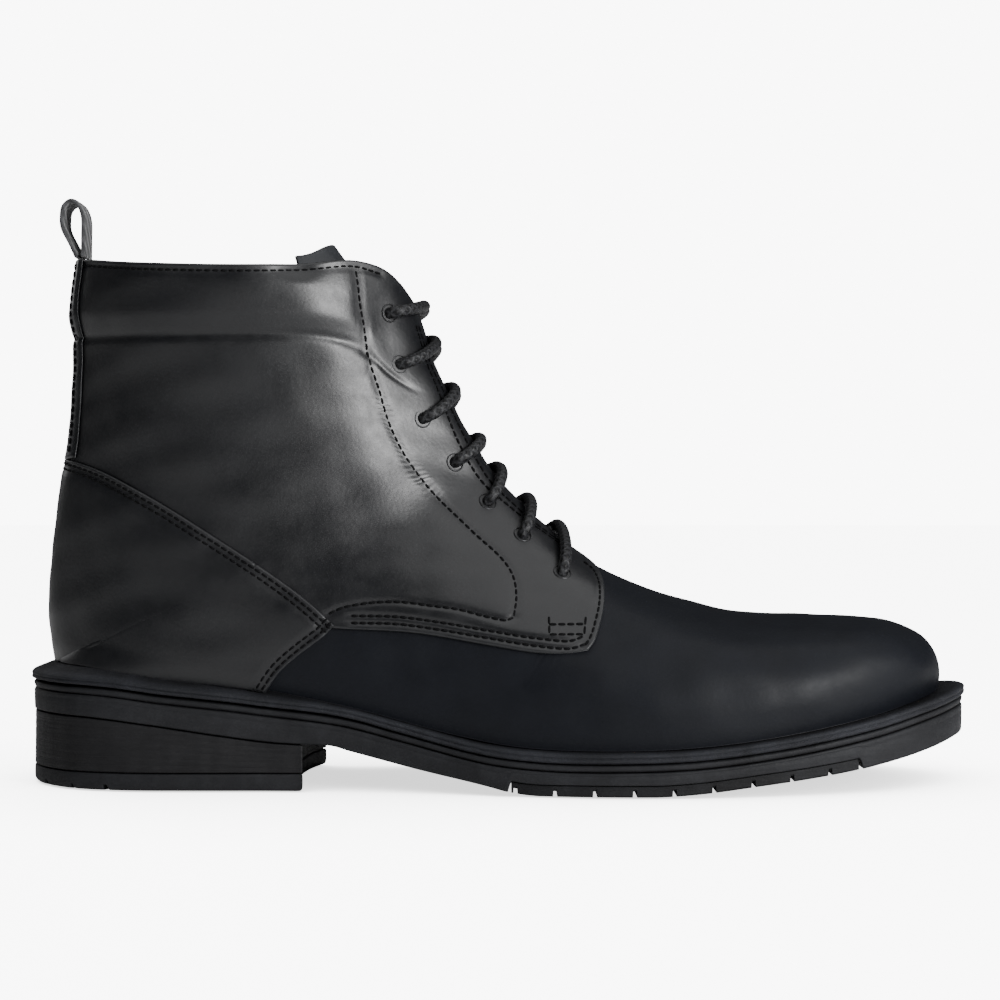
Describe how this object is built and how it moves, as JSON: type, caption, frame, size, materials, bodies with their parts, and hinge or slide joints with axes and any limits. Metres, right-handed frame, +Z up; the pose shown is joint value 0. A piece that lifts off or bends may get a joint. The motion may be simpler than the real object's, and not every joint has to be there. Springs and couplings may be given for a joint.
{
  "type": "lace-up ankle boot",
  "caption": "Right-foot derby ankle boot: laced leather upper with open facings, tongue and back pull loop, on a welted rubber sole with a stacked block heel.",
  "frame": {"origin": "on the ground, under the middle of the boot's length and width", "axes": "+X towards the toe, +Z up, +Y towards the inner (arch) side of the right foot"},
  "size_m": [0.307, 0.1052, 0.1899],
  "materials": {
    "upper_leather": "satin black full-grain leather",
    "tongue_leather": "matt slate-black leather",
    "lining": "dark grey-green woven lining",
    "footbed": "matt dark leather over foam",
    "foam": "soft grey foam",
    "board_and_cork": "raw fibreboard and cork",
    "welt": "ridged, lightly scuffed",
    "sole_rubber": "satin black, fine lines along the edge",
    "shank": "plain spring steel",
    "eyelets": "black oxide",
    "aglets": "shiny black",
    "laces": "round waxed braid",
    "webbing": "herringbone woven tape"
  },
  "bodies": {
    "rearfoot": {"welt_rear": "welt", "midsole_rear": "sole_rubber", "insole_board_rear": "board_and_cork", "footbed_rear": "footbed", "cork_filler_rear": "board_and_cork", "steel_shank": "shank", "outsole_rear": "sole_rubber", "tread_pad_rear": "sole_rubber", "heel_block": "sole_rubber", "heel_top_piece": "sole_rubber", "quarter_outer": "upper_leather", "eyestay_backing_outer": "lining", "quarter_inner": "upper_leather", "eyestay_backing_inner": "lining", "heel_counter_cover": "upper_leather", "heel_stiffener": "board_and_cork", "vamp_flex_band": "upper_leather", "vamp_rear": "upper_leather", "lining_flex_band": "lining", "lining_vamp_rear": "lining", "lining_outer": "lining", "collar_foam_outer": "foam", "lining_inner": "lining", "collar_foam_inner": "foam", "back_strip": "upper_leather", "eyelet_outer_1": "eyelets", "eyelet_inner_1": "eyelets", "eyelet_outer_2": "eyelets", "eyelet_inner_2": "eyelets", "eyelet_outer_3": "eyelets", "eyelet_inner_3": "eyelets", "eyelet_outer_4": "eyelets", "eyelet_inner_4": "eyelets", "eyelet_outer_5": "eyelets", "eyelet_inner_5": "eyelets", "eyelet_outer_6": "eyelets", "eyelet_inner_6": "eyelets", "eyelet_outer_7": "eyelets", "eyelet_inner_7": "eyelets", "lace": "laces", "lace_end_outer": "laces", "aglet_outer": "aglets", "lace_end_inner": "laces", "aglet_inner": "aglets", "pull_loop_base": "webbing"},
    "forefoot": {"welt_front": "welt", "midsole_front": "sole_rubber", "insole_board_front": "board_and_cork", "footbed_front": "footbed", "cork_filler_front": "board_and_cork", "outsole_front": "sole_rubber", "tread_pad_front": "sole_rubber", "vamp_front": "upper_leather", "toe_puff": "board_and_cork", "lining_front": "lining"},
    "tongue": {"tongue": "tongue_leather", "tongue_lining": "lining"},
    "pull_loop": {"pull_loop": "webbing"}
  },
  "joints": [
    {"name": "forefoot_flex", "type": "hinge", "parent": "rearfoot", "child": "forefoot", "pos_m": [0.058, 0, 0.0194], "axis": [0, -1, 0], "range_deg": [0, 25], "stiffness_Nm_per_rad": 8, "deforming": ["vamp_flex_band", "lining_flex_band"]},
    {"name": "tongue_tilt", "type": "hinge", "parent": "rearfoot", "child": "tongue", "pos_m": [0.021, 0, 0.062], "axis": [0, -1, 0], "range_deg": [0, 10], "stiffness_Nm_per_rad": 0.4},
    {"name": "pull_loop_swing", "type": "hinge", "parent": "rearfoot", "child": "pull_loop", "pos_m": [-0.1374, 0, 0.1724], "axis": [0, -1, 0], "range_deg": [-35, 35], "stiffness_Nm_per_rad": 0.01}
  ]
}
